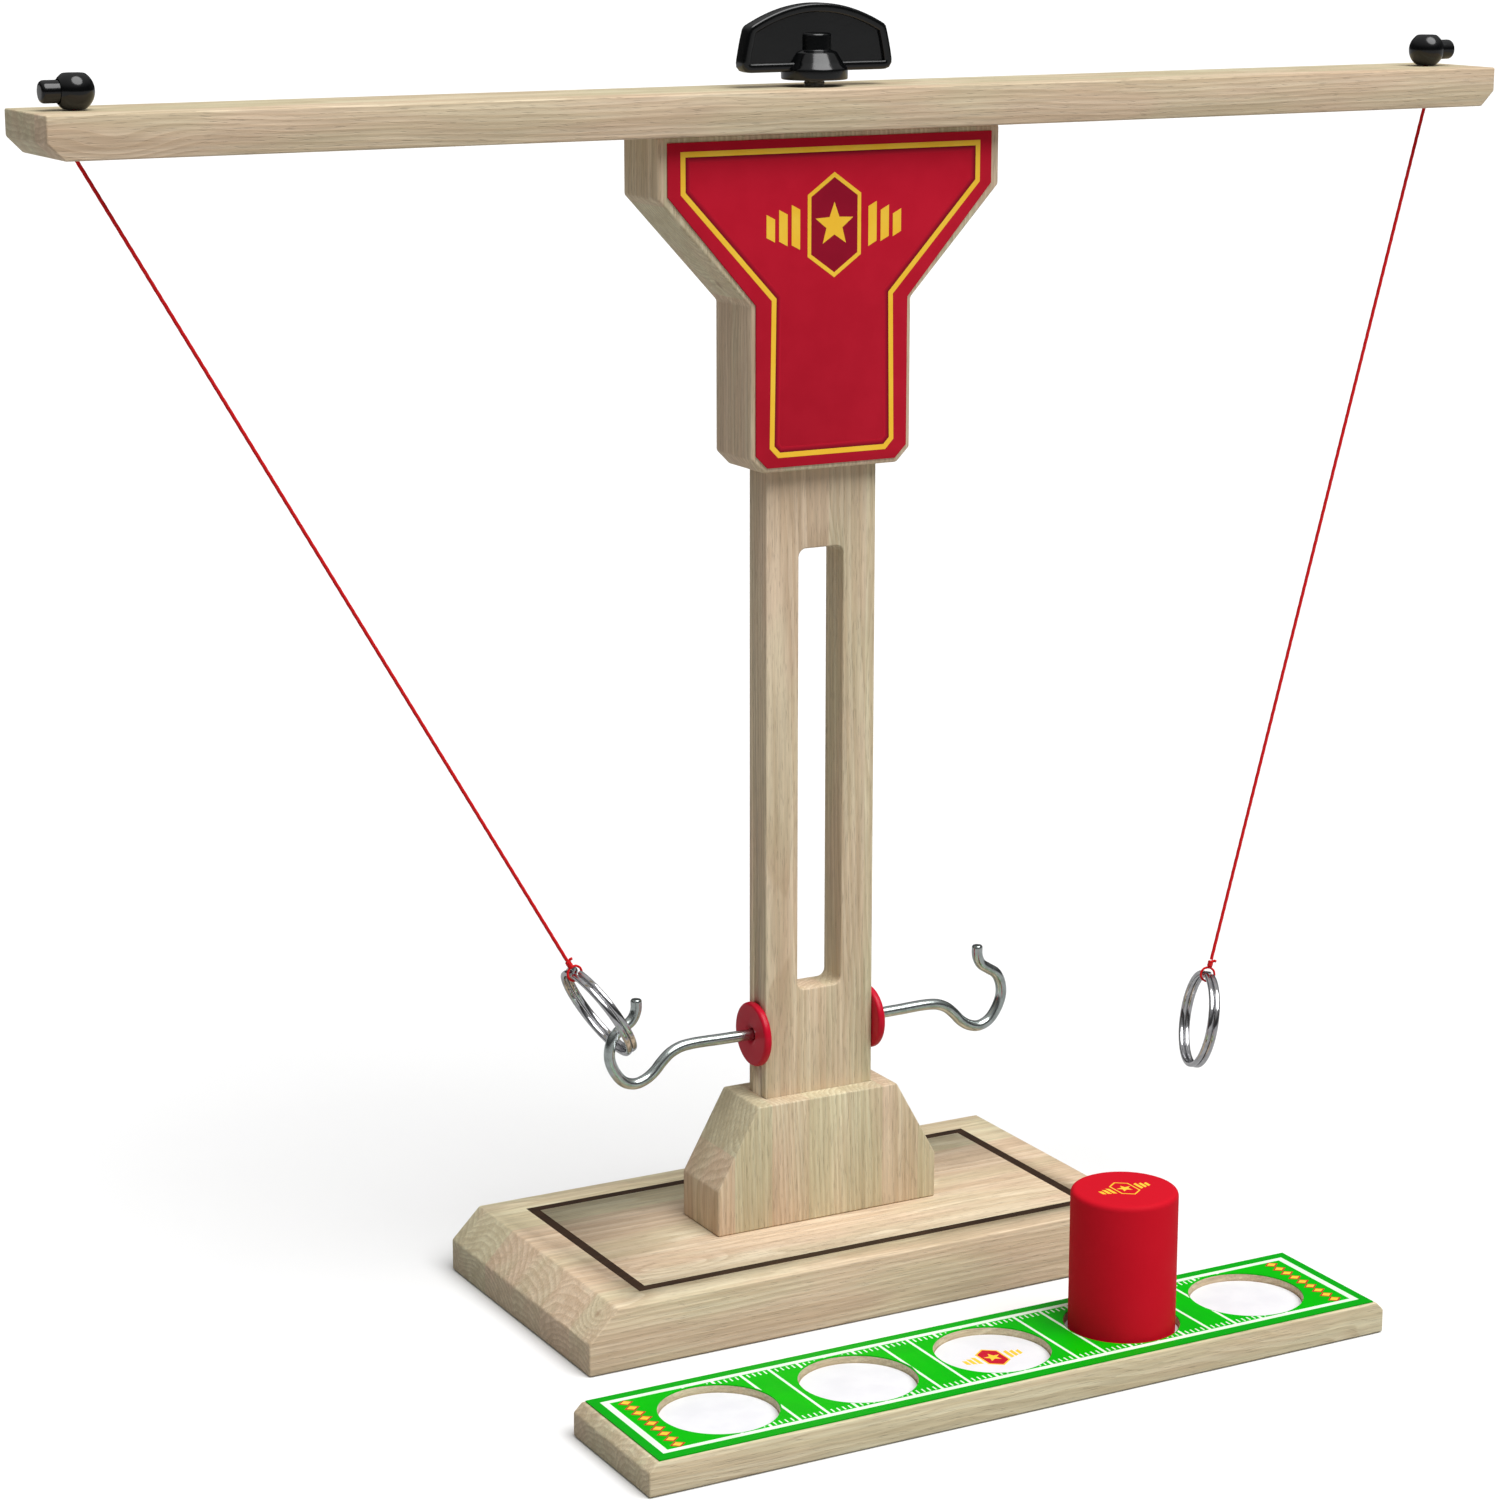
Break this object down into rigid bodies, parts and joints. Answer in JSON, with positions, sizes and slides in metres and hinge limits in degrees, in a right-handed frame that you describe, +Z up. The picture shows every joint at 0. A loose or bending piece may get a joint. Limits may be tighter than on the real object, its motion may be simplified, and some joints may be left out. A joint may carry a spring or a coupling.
{
  "type": "hook and ring game",
  "caption": "Tabletop ring-on-a-string game: slotted post with wire hooks, swivelling crossbar with cord locks, strings and split rings, and a scoring board with a round marker.",
  "frame": {"origin": "on the table, at the middle of the base board's underside, under the post", "axes": "+Z up, X along the beam and the long side of the base, -Y towards the printed face and the scoring board"},
  "size_m": [0.4572, 0.1727, 0.374],
  "materials": {
    "wood": "pale hardwood, laminated strips, clear satin",
    "dark_inlay": "dark brown line, satin",
    "zinc_steel": "bright zinc plate",
    "polished_steel": "polished nickel plate",
    "brass": "turned brass",
    "black_plastic": "gloss black moulding",
    "red_plastic": "gloss red moulding",
    "red_cord": "fine braided cord",
    "red_print": "printed sheet, satin",
    "green_print": "printed sheet, satin",
    "yellow_print": "printed line, satin",
    "white_print": "printed line, satin",
    "white_sheet": "white sheet, satin",
    "red_paint": "matte red lacquer"
  },
  "bodies": {
    "stand": {"base_board": "wood", "border_inlay": "dark_inlay", "pedestal_block": "wood", "post": "wood", "yoke_block": "wood", "yoke_panel": "red_print", "hanger_bolt": "zinc_steel", "hook_left": "zinc_steel", "hook_right": "zinc_steel", "hook_washer_left": "red_plastic", "hook_washer_right": "red_plastic", "pedestal_screw_left": "zinc_steel", "pedestal_screw_right": "zinc_steel", "post_screw_left": "zinc_steel", "post_screw_right": "zinc_steel"},
    "beam": {"beam": "wood", "lock_barrel_left": "black_plastic", "lock_barrel_right": "black_plastic", "string_stub_left": "red_cord", "string_stub_right": "red_cord", "lock_spring_left": "zinc_steel", "lock_spring_right": "zinc_steel"},
    "knob": {"wing_knob": "black_plastic", "knob_insert": "brass"},
    "plunger_left": {"lock_plunger_left": "black_plastic"},
    "plunger_right": {"lock_plunger_right": "black_plastic"},
    "string_left": {"string_left": "red_cord", "knot_left": "red_cord"},
    "ring_left": {"ring_left": "polished_steel"},
    "string_right": {"string_right": "red_cord"},
    "knot_right": {"knot_right": "red_cord"},
    "ring_right": {"ring_right": "polished_steel"},
    "ladder": {"ladder_board": "wood", "field_panel": "green_print", "cup_disc_1": "white_sheet", "cup_disc_2": "white_sheet", "cup_disc_3": "white_sheet", "cup_disc_4": "white_sheet", "cup_disc_5": "white_sheet"},
    "marker": {"score_marker": "red_paint"}
  },
  "joints": [
    {"name": "beam_swivel", "type": "hinge", "parent": "stand", "child": "beam", "pos_m": [0, 0, 0.3395], "axis": [0, 0, 1], "range_deg": [-4, 4]},
    {"name": "knob_turn", "type": "hinge", "parent": "stand", "child": "knob", "pos_m": [0, 0, 0.36], "axis": [0, 0, 1], "continuous": true},
    {"name": "lock_plunger_left_press", "type": "slide", "parent": "beam", "child": "plunger_left", "axis": [1, 0, 0], "range_m": [0, 0.0014], "stiffness_N_per_m": 200, "springref_m": -0.003, "deforming": ["lock_spring_left"]},
    {"name": "lock_plunger_right_press", "type": "slide", "parent": "beam", "child": "plunger_right", "axis": [-1, 0, 0], "range_m": [0, 0.0014], "stiffness_N_per_m": 200, "springref_m": -0.003, "deforming": ["lock_spring_right"]},
    {"name": "string_left_swing", "type": "hinge", "parent": "beam", "child": "string_left", "pos_m": [-0.2155, 0, 0.3383], "axis": [0, -1, 0], "range_deg": [0, 7]},
    {"name": "ring_left_tilt", "type": "hinge", "parent": "string_left", "child": "ring_left", "pos_m": [-0.0776, 0, 0.1026], "axis": [0, -1, 0], "range_deg": [0, 15]},
    {"name": "string_right_swing", "type": "hinge", "parent": "beam", "child": "string_right", "pos_m": [0.2155, 0, 0.3383], "axis": [0, 1, 0], "range_deg": [-75, 8]},
    {"name": "ring_right_twist", "type": "hinge", "parent": "string_right", "child": "knot_right", "pos_m": [0.1438, 0, 0.0703], "axis": [0.2585, 0, 0.966], "continuous": true},
    {"name": "ring_right_tilt", "type": "hinge", "parent": "knot_right", "child": "ring_right", "pos_m": [0.1438, 0, 0.0703], "axis": [0.3309, 0.9415, -0.0643], "range_deg": [-60, 60]},
    {"name": "ladder_slide", "type": "slide", "parent": "stand", "child": "ladder", "axis": [0, -1, 0], "range_m": [0, 0.1]},
    {"name": "marker_lift", "type": "slide", "parent": "ladder", "child": "marker", "axis": [0, 0, 1], "range_m": [0, 0.06]}
  ]
}
